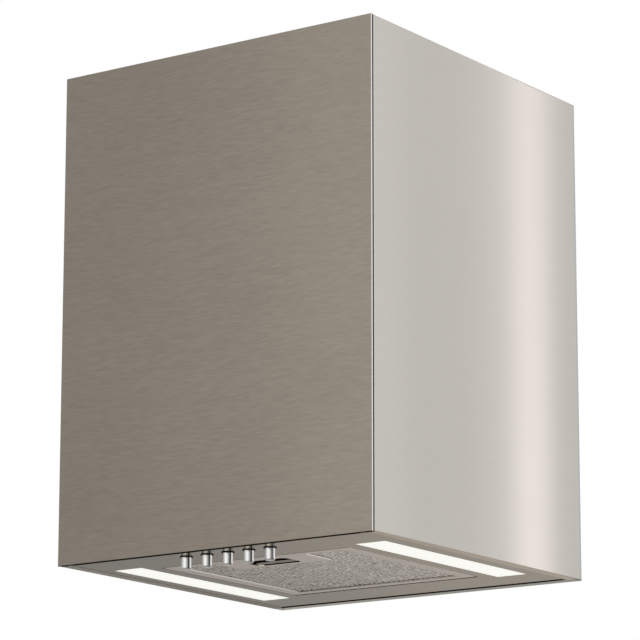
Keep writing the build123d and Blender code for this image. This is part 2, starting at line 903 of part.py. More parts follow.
def make_latch_slider():
    """The sliding bolt: a wide plate, a finger bar in the recess and a hook in front."""
    low = plate_z + latch_sheet + seat_gap
    back = grip_front_y + grip_thickness + sheet
    front = filter_front_y + filter_sheet + sheet
    slider = span_box(-slider_half, slider_half, window_front_y + sheet, back, low, low + slider_thickness)
    slider -= span_box(
        -recess_width / 2, recess_width / 2, recess_front_y, grip_front_y, low - overcut, low + overcut
    )
    slider += span_box(
        -grip_width / 2, grip_width / 2,
        grip_front_y, grip_front_y + grip_thickness,
        plate_z + seat_gap, plate_z + seat_gap + grip_height,
    )
    tongue_z = plate_z + catch_height + catch_leaf + seat_gap
    nose_tip = filter_open_front_y + catch_reach
    web = nose_tip + sheet
    profile = Polyline(
        (window_front_y + sheet + sheet, low),
        (web, low),
        (web, tongue_z),
        (front, tongue_z),
        (front, tongue_z + slider_thickness),
        (web + slider_thickness, tongue_z + slider_thickness),
        (web + slider_thickness, low + slider_thickness),
        (window_front_y + sheet + sheet, low + slider_thickness),
        close=True,
    )
    hook = Plane.YZ.offset(-hook_width / 2) * make_face(profile)
    return slider + extrude(hook, hook_width)


def make_latch_spring():
    """The spring that pushes the slider towards the catch."""
    start = grip_front_y + grip_thickness + seat_gap / 2
    length = latch_back_y - latch_sheet - start - seat_gap / 2
    spring = helix_spring(latch_spring_radius, spring_wire, length, spring_turns)
    seat = Plane(origin=(0, start, plate_z + latch_spring_rise), z_dir=(0, 1, 0))
    return seat * spring


def make_filter_catch():
    """The spring leaf behind the plate's collar whose nose holds the latch up."""
    wall_y = filter_open_front_y - sheet
    low = plate_z + catch_height
    profile = Polyline(
        (wall_y, low + catch_leaf),
        (wall_y, plate_z + collar_height - sheet),
        (wall_y - catch_leaf, plate_z + collar_height - sheet),
        (wall_y - catch_leaf, low),
        (filter_open_front_y + catch_reach, low),
        (filter_open_front_y + catch_reach, low + catch_leaf),
        close=True,
    )
    section = Plane.YZ.offset(-catch_width / 2) * make_face(profile)
    return extrude(section, catch_width)


def scroll_outline(grow):
    """The spiral of the fan housing: four quarter arcs, each wider, then the outlet."""
    side = scroll_shift
    top = top_plate_z - sheet - fan_axis_z
    radii = [scroll_radius + index * scroll_step + grow for index in range(4)]
    inner_u = tongue_u - grow
    tongue_v = side + math.sqrt(radii[0] ** 2 - (inner_u + side) ** 2)
    outer_u = side + radii[3]
    crest = (-side, side + radii[0])
    front = (-side - radii[1], -side)
    belly = (side, -side - radii[2])
    back = (outer_u, side)
    diagonal = math.sqrt(0.5)
    tongue_angle = (math.atan2(tongue_v - side, inner_u + side) + math.pi / 2) / 2
    lines = [
        ThreePointArc(
            (inner_u, tongue_v),
            (-side + radii[0] * math.cos(tongue_angle), side + radii[0] * math.sin(tongue_angle)),
            crest,
        ),
        ThreePointArc(crest, (-side - radii[1] * diagonal, -side + radii[1] * diagonal), front),
        ThreePointArc(front, (side - radii[2] * diagonal, -side - radii[2] * diagonal), belly),
        ThreePointArc(belly, (side + radii[3] * diagonal, side - radii[3] * diagonal), back),
        Line(back, (outer_u, top)),
        Line((outer_u, top), (inner_u, top)),
        Line((inner_u, top), (inner_u, tongue_v)),
    ]
    return make_face(lines)


def scroll_slab(grow, x_min, x_max):
    """The scroll's outline as a slab between two X limits."""
    plane = Plane(origin=(x_min, fan_axis_y, fan_axis_z), x_dir=(0, 1, 0), z_dir=(1, 0, 0))
    return extrude(plane * scroll_outline(grow), x_max - x_min)


def make_scroll_half(side):
    """One moulded half of the fan housing, with its inlet mouth and joint flange."""
    outer = side * scroll_half_width
    low, high = min(0, outer), max(0, outer)
    half = scroll_slab(scroll_wall, low, high)
    rim = side * scroll_wall
    half += scroll_slab(scroll_edge, min(0, rim), max(0, rim))
    top = top_plate_z - sheet
    flange_half = duct_flange / 2
    half += span_box(
        min(0, side * flange_half), max(0, side * flange_half),
        duct_y - flange_half, duct_y + flange_half,
        top - duct_flange_thickness, top,
    )
    inner = side * (scroll_half_width - scroll_wall)
    past_joint = -side * overcut
    half -= scroll_slab(0, min(past_joint, inner), max(past_joint, inner))
    half -= span_box(
        -scroll_half_width + scroll_wall, scroll_half_width - scroll_wall,
        fan_axis_y + tongue_u, fan_axis_y + scroll_outer,
        top - 2 * duct_flange_thickness, top + overcut,
    )
    lip_end = side * (scroll_half_width - inlet_lip)
    centre = (fan_axis_y, fan_axis_z)
    half += ring(inlet_radius + scroll_wall, inlet_radius - overcut, (outer, *centre), (lip_end, *centre))
    half -= rod(inlet_radius, (outer + side * overcut, *centre), (lip_end - side * overcut, *centre))
    for seat in collar_screw_seats():
        if seat[0] * side > 0:
            half -= screw_cut(seat, (0, 0, -1), 2 * duct_flange_thickness + sheet + overcut)
    if side < 0:
        half += capacitor_cradle()
    return half


def capacitor_cradle():
    """The moulded saddle on the housing that the capacitor lies in."""
    face = -scroll_half_width
    cradle = span_box(
        face - cradle_depth, face + sheet,
        capacitor_y - cradle_width / 2, capacitor_y + cradle_width / 2,
        fan_axis_z - cradle_length / 2, fan_axis_z + cradle_length / 2,
    )
    return cradle - rod(
        capacitor_radius + seat_gap,
        (capacitor_x(), capacitor_y, fan_axis_z - cradle_length),
        (capacitor_x(), capacitor_y, fan_axis_z + cradle_length),
    )


def capacitor_x():
    """The X of the capacitor's axis, just off the housing's side."""
    return -scroll_half_width - capacitor_radius - seat_gap - sheet


def make_capacitor():
    """The motor's run capacitor, a can with a rounded foot and two blades on top."""
    low = fan_axis_z - capacitor_length / 2
    high = fan_axis_z + capacitor_length / 2
    can = rod(capacitor_radius, (0, 0, low), (0, 0, high))
    can = fillet(can.edges().sort_by(Axis.Z)[:1], bend_radius)
    for side in (-1, 1):
        y = side * capacitor_blade_offset
        can += span_box(
            -sheet / 2, sheet / 2,
            y - blade_width / 2, y + blade_width / 2,
            high - sheet, high + blade_height,
        )
    return Pos(capacitor_x(), capacitor_y, 0) * can


def polar(radius, angle):
    """A point in a plane from its radius and its angle in degrees."""
    return (radius * math.cos(math.radians(angle)), radius * math.sin(math.radians(angle)))


def make_fan_wheel():
    """The double-inlet drum wheel: hub, middle disc, curved vanes and two end rings."""
    middle = (wheel_radius + wheel_inner_radius) / 2
    thick = math.degrees(vane_thickness / middle)
    inner = polar(wheel_inner_radius, 0)
    outer = polar(wheel_radius - vane_thickness, vane_sweep)
    inner_after = polar(wheel_inner_radius, thick)
    outer_after = polar(wheel_radius - vane_thickness, vane_sweep + thick)
    vane_face = make_face([
        ThreePointArc(inner, polar(middle, vane_bow), outer),
        Line(outer, outer_after),
        ThreePointArc(outer_after, polar(middle, vane_bow + thick), inner_after),
        Line(inner_after, inner),
    ])
    vane = Pos(0, 0, -wheel_half_width) * extrude(vane_face, 2 * wheel_half_width)
    disc = Cylinder(wheel_radius - vane_thickness, wheel_disc)
    wheel = disc + Cylinder(hub_radius, 2 * hub_half_length)
    for end in (-1, 1):
        band = Cylinder(wheel_radius, wheel_ring_width) - Cylinder(middle, 2 * wheel_ring_width)
        wheel += Pos(0, 0, end * (wheel_half_width - wheel_ring_width / 2)) * band
    vanes = [Rot(0, 0, index * 360.0 / wheel_blades) * vane for index in range(wheel_blades)]
    wheel = wheel + vanes
    wheel -= Cylinder(shaft_radius + shaft_gap, 4 * hub_half_length)
    return Pos(0, fan_axis_y, fan_axis_z) * Rot(0, 90, 0) * wheel


def make_motor_can():
    """The motor's closed can with a boss at each end and a bore for the bearings."""
    end = motor_start + motor_length
    low = motor_start + motor_boss
    high = end - motor_boss
    profile = [
        (bearing_radius, motor_start),
        (hub_radius, motor_start),
        (hub_radius, low),
        (motor_radius - motor_edge, low),
        (motor_radius, low + motor_edge),
        (motor_radius, high - motor_edge),
        (motor_radius - motor_edge, high),
        (hub_radius, high),
        (hub_radius, end),
        (bearing_radius, end),
    ]
    section = make_face(Polyline(*profile, close=True))
    can = revolve(Plane.XZ * section, Axis.Z)
    return Pos(0, fan_axis_y, fan_axis_z) * Rot(0, 90, 0) * can


def make_motor_bearings():
    """Two bush bearings, one in each end of the motor can."""
    centre = (fan_axis_y, fan_axis_z)
    first = motor_start
    last = motor_start + motor_length
    rings = [
        ring(bearing_radius, shaft_radius + shaft_gap, (first, *centre), (first + bearing_width, *centre)),
        ring(bearing_radius, shaft_radius + shaft_gap, (last - bearing_width, *centre), (last, *centre)),
    ]
    return Compound(children=rings)


def make_motor_shaft():
    """The shaft that carries the wheel and turns in the motor."""
    centre = (fan_axis_y, fan_axis_z)
    end = motor_start + motor_length + bearing_width
    shaft = rod(shaft_radius, (-hub_half_length - bearing_width, *centre), (end, *centre))
    return chamfer(shaft.edges().filter_by(GeomType.CIRCLE), sheet / 2)


def make_motor_bracket():
    """The three-arm spider that holds the motor in the right-hand inlet."""
    centre = (fan_axis_y, fan_axis_z)
    face = scroll_half_width
    outer = motor_radius + shaft_gap + bracket_ring_wall
    bracket = ring(outer, motor_radius + shaft_gap, (face, *centre), (face + bracket_ring_width, *centre))
    arm_length = bracket_arm_reach - motor_radius - bracket_ring_wall / 2
    arm_middle = (bracket_arm_reach + motor_radius + bracket_ring_wall / 2) / 2
    arm = Pos(0, arm_middle, bracket_sheet / 2) * Box(bracket_arm_width, arm_length, bracket_sheet)
    arm = fillet(arm.edges().filter_by(Axis.Z), bracket_sheet)
    rib_length = inlet_radius - motor_radius - bracket_ring_wall / 2
    rib_middle = (inlet_radius + motor_radius + bracket_ring_wall / 2) / 2
    arm += Pos(0, rib_middle, bracket_rib_height / 2) * Box(bracket_sheet, rib_length, bracket_rib_height)
    place = Pos(face, *centre) * Rot(0, 90, 0)
    for index in range(bracket_arms):
        bracket += place * Rot(0, 0, index * 360.0 / bracket_arms) * arm
    return bracket


def make_outlet_collar():
    """The round outlet with its square flange, flap ledge and spindle holes."""
    flange = RectangleRounded(duct_flange, duct_flange, duct_flange_corner)
    collar = extrude(Plane(origin=(0, duct_y, top_plate_z)) * flange, duct_flange_thickness)
    top = top_plate_z + duct_height
    centre = (0, duct_y)
    collar += rod(duct_radius, (*centre, top_plate_z), (*centre, top))
    collar = fillet(collar.faces().sort_by(Axis.Z)[-1].edges(), duct_wall / 2)
    collar -= rod(duct_bore, (*centre, top_plate_z - overcut), (*centre, top + overcut))
    ledge_top = spindle_z - flap_thickness / 2 - seat_gap
    collar += ring(
        duct_bore + duct_wall / 2, ledge_radius,
        (*centre, ledge_top - ledge_thickness), (*centre, ledge_top),
    )
    collar -= rod(
        spindle_radius + shaft_gap,
        (-duct_radius - overcut, duct_y, spindle_z),
        (duct_radius + overcut, duct_y, spindle_z),
    )
    for seat in collar_screw_seats():
        collar -= screw_cut(seat, (0, 0, -1), duct_flange_thickness + overcut)
    return collar


def make_flap(side):
    """Half of the non-return valve: a half disc whose knuckles turn on the spindle."""
    radius = duct_bore - flap_edge_gap
    low = spindle_z - flap_thickness / 2
    high = spindle_z + flap_thickness / 2
    keep = knuckle_radius + flap_hinge_gap
    near = duct_y + side * keep
    far = duct_y + side * (radius + overcut)
    web = duct_y + side * (keep + overcut)
    disc = rod(radius, (0, duct_y, low), (0, duct_y, high))
    flap = disc & span_box(
        -radius - overcut, radius + overcut,
        min(near, far), max(near, far),
        low - overcut, high + overcut,
    )
    first = 0 if side < 0 else 1
    for place in range(first, knuckle_count, 2):
        x = (place - (knuckle_count - 1) / 2) * knuckle_pitch
        left = x - knuckle_length / 2
        right = x + knuckle_length / 2
        flap += rod(knuckle_radius, (left, duct_y, spindle_z), (right, duct_y, spindle_z))
        flap += span_box(left, right, min(duct_y, web), max(duct_y, web), low, high)
    return flap - rod(
        spindle_radius + shaft_gap, (-duct_radius, duct_y, spindle_z), (duct_radius, duct_y, spindle_z)
    )


def make_flap_spindle():
    """The steel pin across the collar that both flaps hang on."""
    reach = duct_radius - spindle_inset
    return rod(spindle_radius, (-reach, duct_y, spindle_z), (reach, duct_y, spindle_z))


def make_terminal_box():
    """The mains connection box on the inside of the back, open towards the front."""
    half_x = terminal_length / 2
    half_z = terminal_tall / 2
    back = -sheet
    front = back - terminal_deep
    box = span_box(
        terminal_x - half_x, terminal_x + half_x, front, back, terminal_z - half_z, terminal_z + half_z
    )
    box = fillet(box.edges().filter_by(Axis.Y), terminal_wall)
    box -= span_box(
        terminal_x - half_x + terminal_wall, terminal_x + half_x - terminal_wall,
        front - overcut, back - terminal_wall,
        terminal_z - half_z + terminal_wall, terminal_z + half_z - terminal_wall,
    )
    entry = (terminal_x, (front + back) / 2)
    top = terminal_z + half_z
    return box - rod(gland_bore + seat_gap, (*entry, top - 2 * terminal_wall), (*entry, top + overcut))


def make_terminal_cover():
    """The snap lid of the connection box, with a skirt that fits inside its walls."""
    half_x = terminal_length / 2
    half_z = terminal_tall / 2
    front = -sheet - terminal_deep
    lid = span_box(
        terminal_x - half_x, terminal_x + half_x,
        front - terminal_wall, front,
        terminal_z - half_z, terminal_z + half_z,
    )
    lid = fillet(lid.edges().filter_by(Axis.Y), terminal_wall)
    inset = terminal_wall + seat_gap
    skirt = span_box(
        terminal_x - half_x + inset, terminal_x + half_x - inset,
        front - terminal_wall / 2, front + terminal_wall,
        terminal_z - half_z + inset, terminal_z + half_z - inset,
    )
    inset += terminal_wall / 2
    skirt -= span_box(
        terminal_x - half_x + inset, terminal_x + half_x - inset,
        front, front + terminal_deep,
        terminal_z - half_z + inset, terminal_z + half_z - inset,
    )
    return lid + skirt


def make_cable_gland():
    """The cable inlet through the top plate: a flanged bush with a clear bore."""
    low = top_plate_z - gland_bottom
    high = top_plate_z + gland_top
    centre = (gland_x, gland_y)
    gland = rod(gland_radius, (*centre, low), (*centre, high))
    flange = RegularPolygon(gland_flange_radius, hexagon)
    gland += extrude(Plane(origin=(*centre, top_plate_z)) * flange, gland_top / 2)
    gland += rod(gland_radius + sheet, (*centre, top_plate_z), (*centre, high - sheet))
    return gland - rod(gland_bore, (*centre, low - overcut), (*centre, high + overcut))


def make_gland_nut():
    """The nut that clamps the cable gland from below."""
    top = top_plate_z - sheet
    centre = (gland_x, gland_y)
    low = top - gland_nut_height
    outline = Plane(origin=(*centre, low)) * RegularPolygon(gland_flange_radius, hexagon)
    nut = extrude(outline, gland_nut_height)
    return nut - rod(gland_radius + shaft_gap, (*centre, low - overcut), (*centre, top + overcut))


def make_led_driver():
    """The lamp supply: a potted case with an ear at each end, behind the filter."""
    y = (filter_open_back_y + plate_back_y) / 2
    half = driver_length / 2
    case = span_box(
        driver_x - half, driver_x + half,
        y - driver_width / 2, y + driver_width / 2,
        plate_top, plate_top + driver_height,
    )
    case = fillet(case.edges().filter_by(Axis.Z), terminal_wall)
    case = chamfer(case.faces().sort_by(Axis.Z)[-1].edges(), sheet)
    ear = half + driver_ear
    case += span_box(
        driver_x - ear, driver_x + ear,
        y - driver_ear_width / 2, y + driver_ear_width / 2,
        plate_top, plate_top + guide_thickness,
    )
    for seat in driver_stud_seats():
        case -= stud_cut(seat)
    return case


def screw_group(seats, direction_of, reach):
    """Identical screws, one for each seat, kept as separate solids of one node."""
    return Compound(children=[pan_screw(seat, direction_of(seat), reach) for seat in seats])


def make_nut(seat):
    """A hexagon nut on a stud."""
    nut = extrude(Plane(origin=seat) * RegularPolygon(nut_radius, hexagon), nut_height)
    hole = rod(stud_radius + shaft_gap, seat, (seat[0], seat[1], seat[2] + nut_height))
    return nut - hole


def forwards(seat):
    """Towards the front cover."""
    return (0, -1, 0)


def outwards(seat):
    """From inside the plate's rim towards the casing's side."""
    return (math.copysign(1, seat[0]), 0, 0)


def downwards(seat):
    """Straight down."""
    return (0, 0, -1)


def build_parts():
    """Every node of the hood by name."""
    parts = {
        "front_panel": make_front_panel(),
        "front_foam": make_front_foam(),
        "casing_shell": make_casing_shell(),
        "top_plate": make_top_plate(),
        "bottom_plate": make_bottom_plate(),
        "button_guide": make_button_guide(),
        "switch_body": make_switch_body(),
        "filter_frame": make_filter_frame(),
        "filter_mesh": make_filter_mesh(),
        "filter_guard": make_filter_guard(),
        "filter_pad": make_filter_pad(),
        "filter_catch": make_filter_catch(),
        "latch_plate": make_latch_plate(),
        "latch_slider": make_latch_slider(),
        "latch_spring": make_latch_spring(),
        "scroll_left": make_scroll_half(-1),
        "scroll_right": make_scroll_half(1),
        "fan_wheel": make_fan_wheel(),
        "motor_can": make_motor_can(),
        "motor_bearings": make_motor_bearings(),
        "motor_shaft": make_motor_shaft(),
        "motor_bracket": make_motor_bracket(),
        "capacitor": make_capacitor(),
        "outlet_collar": make_outlet_collar(),
        "flap_front": make_flap(-1),
        "flap_rear": make_flap(1),
        "flap_spindle": make_flap_spindle(),
        "terminal_box": make_terminal_box(),
        "terminal_cover": make_terminal_cover(),
        "cable_gland": make_cable_gland(),
        "gland_nut": make_gland_nut(),
        "led_driver": make_led_driver(),
    }
    for name, side in (("left", -1), ("right", 1)):
        parts["lamp_lens_" + name] = make_lamp_lens(side)
        parts["lamp_housing_" + name] = make_lamp_housing(side)
        parts["lamp_board_" + name] = make_lamp_board(side)
    for name, x in zip(button_names, button_places()):
        parts["button_" + name] = make_button(x)
        parts["spring_" + name] = make_button_spring(x)
    cover_reach = sheet + foam_thickness + cover_hem - screw_hole_gap
    parts["panel_screws"] = screw_group(panel_screw_seats(), forwards, cover_reach)
    parts["plate_screws"] = screw_group(plate_screw_seats(), outwards, screw_reach)
    parts["top_screws"] = screw_group(top_screw_seats(), downwards, screw_reach)
    collar_reach = 2 * duct_flange_thickness + sheet
    parts["collar_screws"] = screw_group(collar_screw_seats(), downwards, collar_reach)
    parts["stud_nuts"] = Compound(children=[make_nut(seat) for seat in stud_seats()])
    return parts


for node, shape in build_parts().items():
    export_step(shape, os.path.join("parts", node + ".step"))
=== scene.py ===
import json
import math
import random

import bmesh
import bpy
from mathutils import Matrix, Vector


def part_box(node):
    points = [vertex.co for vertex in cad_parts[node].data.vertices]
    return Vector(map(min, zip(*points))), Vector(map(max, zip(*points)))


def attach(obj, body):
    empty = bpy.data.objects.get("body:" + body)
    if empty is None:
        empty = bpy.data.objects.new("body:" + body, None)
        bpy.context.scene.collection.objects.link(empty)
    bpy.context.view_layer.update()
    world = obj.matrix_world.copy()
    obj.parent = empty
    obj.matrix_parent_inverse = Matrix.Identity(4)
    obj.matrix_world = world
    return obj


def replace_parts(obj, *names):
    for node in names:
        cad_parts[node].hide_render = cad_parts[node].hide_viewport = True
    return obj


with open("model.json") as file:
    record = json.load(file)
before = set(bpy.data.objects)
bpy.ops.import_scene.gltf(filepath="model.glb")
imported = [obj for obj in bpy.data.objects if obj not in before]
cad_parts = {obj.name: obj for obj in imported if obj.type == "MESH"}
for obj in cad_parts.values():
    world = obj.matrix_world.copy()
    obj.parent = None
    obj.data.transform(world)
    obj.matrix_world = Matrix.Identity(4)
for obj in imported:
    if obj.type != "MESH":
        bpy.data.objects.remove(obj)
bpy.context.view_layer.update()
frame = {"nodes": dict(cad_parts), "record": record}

# Chimney range hood seen from below. All lengths are metres in the frame of the model:
# the origin is the centre of the back, X to the right, Y into the wall, Z up.
x_axis = 0
y_axis = 1
z_axis = 2

# Camera: angles in degrees, lens and sensor width in millimetres, and how far it sees
camera_place = Vector((1.53076, -2.32088, -0.60536))
camera_turn = 35.251
camera_rise = 12.992
camera_roll = 0.063
camera_lens = 189.15
sensor_width = 36.0
sight_end = 50.0

# Floor, which ends 1.6 m in front of the wall so that the buttons mirror the white beyond it
floor_height = -0.95
floor_half = 3.8
floor_middle = (-2.2, 2.2)
floor_tone = (196, 196, 194)
floor_segments = 8
floor_clouds = (2, 2, 2)

# Light: the world is white in mirrors and this level for the rest; lamps have their power in watts
white = (1.0, 1.0, 1.0, 1.0)
daylight = 0.85
hood_middle = Vector((0.0, -0.15, 0.0))
softboxes = {
    "right_box": {
        "place": (2.6, -1.6, 0.9), "size": (1.6, 1.6), "power": 3.0, "tint": (255, 252, 248),
    },
    "left_box": {
        "place": (-2.4, -2.2, 0.6), "size": (1.8, 1.8), "power": 2.0, "tint": (250, 252, 255),
    },
    "side_strip": {
        "place": (0.357, 0.262, 0.1), "size": (0.032, 0.8), "power": 0.058, "tint": (255, 244, 249),
        "level": True,
    },
}

# Tones, as 8-bit colour values
cover_tone = (132, 124, 114)
# Painted highlight for the cut edges of the cover and the filter and for the glint in the finger
# recess
edge_highlight_tone = (226, 223, 217)
casing_tone = (194, 191, 184)
# Painted reflection on the casing's rounded rear corners
corner_reflection_tone = (176, 182, 186)
plate_tone = (151, 139, 126)
shade_tone = (30, 27, 24)
# Painted light for the casing's left lip and the filter's finger bar
painted_light_tone = (200, 192, 180)
filter_tone = (201, 193, 186)
mesh_tone = (225, 219, 212)
chrome_tone = (240, 239, 236)
zinc_tone = (176, 178, 180)
# Black foam, whose strips in the gaps beside the cover stand in for the shade there
foam_and_shade_tone = (18, 18, 18)
lens_tone = (238, 238, 232)
lamp_tone = (252, 252, 245)
board_tone = (232, 234, 232)
track_tone = (224, 227, 225)
gap_tone = (196, 202, 198)
chip_tone = (236, 214, 120)

# What metal keeps of its mirror when seen along its surface, in red, green and blue
plate_graze = (0.78, 0.75, 0.71)
filter_graze = (0.96, 0.91, 0.87)

# Grain of each finish, in cells per metre along X, Y and Z
cover_grain = (70, 70, 2600)
cover_dashes = (95, 95, 900)
cover_bands = (12, 12, 210)
cover_clouds = (9, 9, 14)
casing_grain = (24, 24, 2600)
casing_bands = (4, 4, 160)
casing_clouds = (6, 6, 4)
plate_grain = (30, 2400, 2400)
plate_clouds = (9, 14, 9)
zinc_warp = (90, 90, 90)
zinc_crystals = (85, 85, 85)
filter_lines = (40, 1500, 1500)
mesh_lines = (620, 260, 400)
metal_clouds = (40, 40, 40)
chrome_rings = (300, 300, 2500)
plastic_flow = (25, 25, 60)
foam_cells = (1800, 1800, 1800)
lens_frost = (900, 900, 900)
lens_spots = (30, 12, 30)
board_tracks = (160, 90, 160)
board_frost = (500, 500, 500)

# How strongly each layer of its grain changes a finish's tone
cover_contrast = (0.34, 0.34, 0.06, 0.10)
cut_contrast = (0.1,)
casing_contrast = (0.07, 0.02, 0.05)
plate_contrast = (0.26, 0.16)
zinc_contrast = (0.16, 0.10)
filter_contrast = (0.2, 0.1)
mesh_contrast = (1.7, 0.08)
cloud_contrast = 0.08
chrome_contrast = (0.08,)
foam_contrast = (0.8,)
lens_contrast = (-0.16, 0.03, 0.03)
board_contrast = (0.1,)
floor_contrast = (0.02,)

# Roughness of the sheets, from 0 for a mirror to 1, and how far each layer of grain changes it
cover_roughness = 0.30
cover_spread = (0.12,)
casing_roughness = 0.19
plate_roughness = 0.09
sheet_spread = (0.04,)
zinc_roughness = 0.42
zinc_spread = (0.16, 0.08)
filter_roughness = 0.33
mesh_roughness = 0.30
metal_spread = (0.12, 0.08)
plastic_spread = (0.10, 0.10)

# A range is where a change starts and ends, and the levels there when they aren't 0 and 1.
# A range named for facing goes by the surface's normal, from -1 to 1, and the rest by place.
# Cover: painted light that grows to the right, a painted highlight on its right cut edge in front
# of the hem only with painted shade behind it, and painted shade on its left cut edge and on faces
# that look down
cover_painted_light_range = (-0.16, 0.16, 0.85, 1.12)
cover_right_painted_light_range = (0.02, 0.16, 0.0, 0.14)
hem_painted_shade_range = (-0.2992, -0.2989, 1.0, 0.12)
cut_highlight_facing = (0.3, 0.8)
left_edge_shade_facing = (-0.8, -0.2, 0.5, 1.0)
cover_shade_facing = (0.4, 0.8)

# Casing: painted light along the side from front to back, a painted reflection on its rear corner,
# painted light and shade on the folds and lips of its underside, and painted shade on its front
# edge
side_painted_light_ranges = ((-0.295, -0.225, 1.03, 0.955), (-0.19, -0.12, 0.0, 0.05), (-0.09, -0.01, 0.0, -0.05))
corner_reflection_range = (-0.0045, -0.0015)
corner_reflection_facing = (0.8, 0.98, 1.0, 0.0)
shaded_fold_facing = (0.3, 0.95)
outer_fold_light_range = (0.140, 0.149, 1.0, 1.6)
back_fold_light_range = (-0.15, 0.12, 1.3, 0.7)
back_fold_light_start = (-0.012, -0.010)
mitre_corner = 0.15
mitre_range = (0.0003, 0.0008, 0.1, 1.0)
lip_light_and_shade_x = (-0.14155, 0.14155)
lip_light_and_shade_y = (-0.3, -0.01095)
lip_light_and_shade_z = (-0.3, -0.185)
lit_left_lip_x = (-0.1416, -0.1414)
nose_shade_y = (-0.3, -0.2963)
nose_shade_facing = 0.7

# Underside: painted light that grows along X plus a share of Y, and painted shade on its collars
underside_painted_slant = 0.3
underside_painted_shift = 0.045
underside_painted_light_range = (-0.14, 0.14, 0.50, 1.66)
collar_shade_z = (-0.19915, 0.0)
collar_shade = 0.35

# Filter: painted light along X, painted highlights on its cut edges, and the finger recess in
# painted shade with a painted glint and a painted light bar
filter_painted_light_range = (-0.08, 0.08, 0.94, 1.12)
edge_highlight_facing = (0.4, 0.9)
edge_highlight_z = (-0.3, -0.1983)
edge_lean = 0.15
recess_shade_facing = (-0.9, -0.4)
recess_shade_x = (-0.0207, 0.0207)
recess_shade_y = (-0.2312, -0.2067)
recess_shade_z = (-0.3, -0.194)
painted_glint_x = (-0.0200, -0.0165)
painted_glint_y = (-0.2122, -0.2067)
lit_bar_y = (-0.2131, -0.2116)
lit_bar_z = (-0.1990, -0.1978)

# Buttons: painted reflection in light and dark bands from the left edge to the right, seen along a
# line turned by this many degrees, painted shade at a plain level for the flat end, and how far the
# normal leans down
reflection_band_turn = 35.0
chrome_reflection_bands = (
    (0.0, 0.40), (0.12, 0.45), (0.22, 0.75), (0.30, 1.0), (0.42, 1.0), (0.52, 0.60),
    (0.62, 0.30), (0.71, 0.07), (0.80, 0.25), (0.90, 0.95), (1.0, 0.70),
)
end_shade_facing = (0.35, 0.9)
end_shade_level = 0.62
middle_lean = 0.065
side_lean = 0.14

# Lamps: ribs across each window, their light, and the height below which a board's chips lie
rib_pitch = 0.0065
rib_sharpness = 3.0
lens_level = 0.94
lens_glow = 0.515
mortar_width = 0.03
chip_range = (-0.18920, -0.18910, 1.0, 0.0)

# Fine expanded mesh of the grease filter
mesh_row = 0.0022
mesh_step = 0.0024
mesh_seed = 11
strand_width = 0.0010
strand_thickness = 0.0005
strand_tilt = 0.0004
tilt_spread = (0.2, 1.0)


def tone(red, green, blue):
    """A colour as the renderer takes it, from 8-bit values by the sRGB curve."""
    def linear(value):
        share = value / 255
        return share / 12.92 if share <= 0.04045 else ((share + 0.055) / 1.055) ** 2.4
    return (linear(red), linear(green), linear(blue), 1.0)


